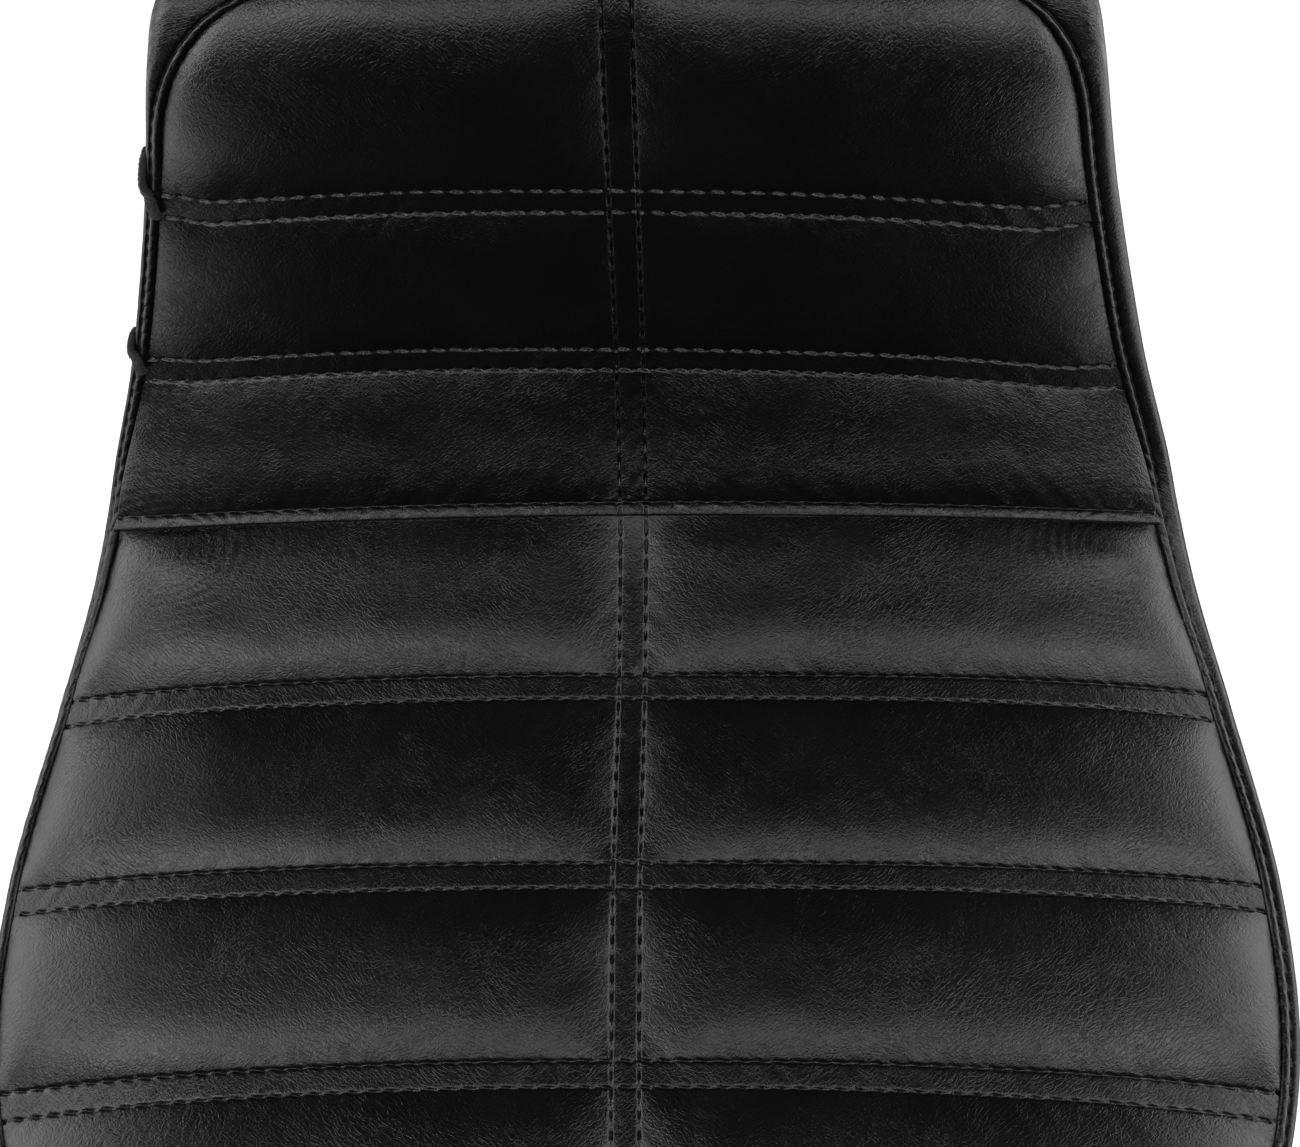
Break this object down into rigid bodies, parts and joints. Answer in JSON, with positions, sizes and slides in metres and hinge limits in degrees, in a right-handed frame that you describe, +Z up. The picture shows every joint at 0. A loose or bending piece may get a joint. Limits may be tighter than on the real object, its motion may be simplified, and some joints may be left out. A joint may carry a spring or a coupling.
{
  "type": "motorcycle seat",
  "caption": "Step-up two-up motorcycle seat: a dished driver's pad, a pleated riser and a passenger pad over moulded foam on a tunnelled pan with steel brackets.",
  "frame": {"origin": "below the middle of the seat, on the plane its rubber bumpers stand on", "axes": "+Z up; +Y towards the tail, so the nose points to -Y; +X to the side that is on the right when seen from the front with +Z up"},
  "size_m": [0.3296, 0.62, 0.214],
  "materials": {
    "vinyl": "satin black leather-grain vinyl",
    "quilting_foam": "open-cell foam on scrim",
    "moulded_foam": "moulded polyurethane foam skin",
    "pan": "moulded black, fine texture",
    "steel": "zinc-plated steel",
    "rubber": "matte black rubber",
    "webbing": "coarse black woven tape"
  },
  "bodies": {
    "root": {"cover_rivet_left_1": "steel", "cover_rivet_left_2": "steel", "cover_rivet_left_3": "steel", "cover_rivet_left_4": "steel", "cover_rivet_left_5": "steel", "cover_rivet_left_6": "steel", "cover_rivet_left_7": "steel", "cover_rivet_right_1": "steel", "cover_rivet_right_2": "steel", "cover_rivet_right_3": "steel", "cover_rivet_right_4": "steel", "cover_rivet_right_5": "steel", "cover_rivet_right_6": "steel", "cover_rivet_right_7": "steel", "driver_cover": "vinyl", "driver_foam": "moulded_foam", "driver_pleat_foam": "quilting_foam", "front_tongue": "steel", "left_side_cover": "vinyl", "pillion_cover": "vinyl", "pillion_foam": "moulded_foam", "pillion_pleat_foam": "quilting_foam", "rear_tab": "steel", "right_side_cover": "vinyl", "riser_cover": "vinyl", "riser_pleat_foam": "quilting_foam", "rubber_bumper_left_1": "rubber", "rubber_bumper_left_2": "rubber", "rubber_bumper_left_3": "rubber", "rubber_bumper_right_1": "rubber", "rubber_bumper_right_2": "rubber", "rubber_bumper_right_3": "rubber", "seat_pan": "pan", "side_loop_lower": "webbing", "side_loop_upper": "webbing", "tab_rivet_1": "steel", "tab_rivet_2": "steel", "tongue_rivet_1": "steel", "tongue_rivet_2": "steel"}
  },
  "joints": []
}
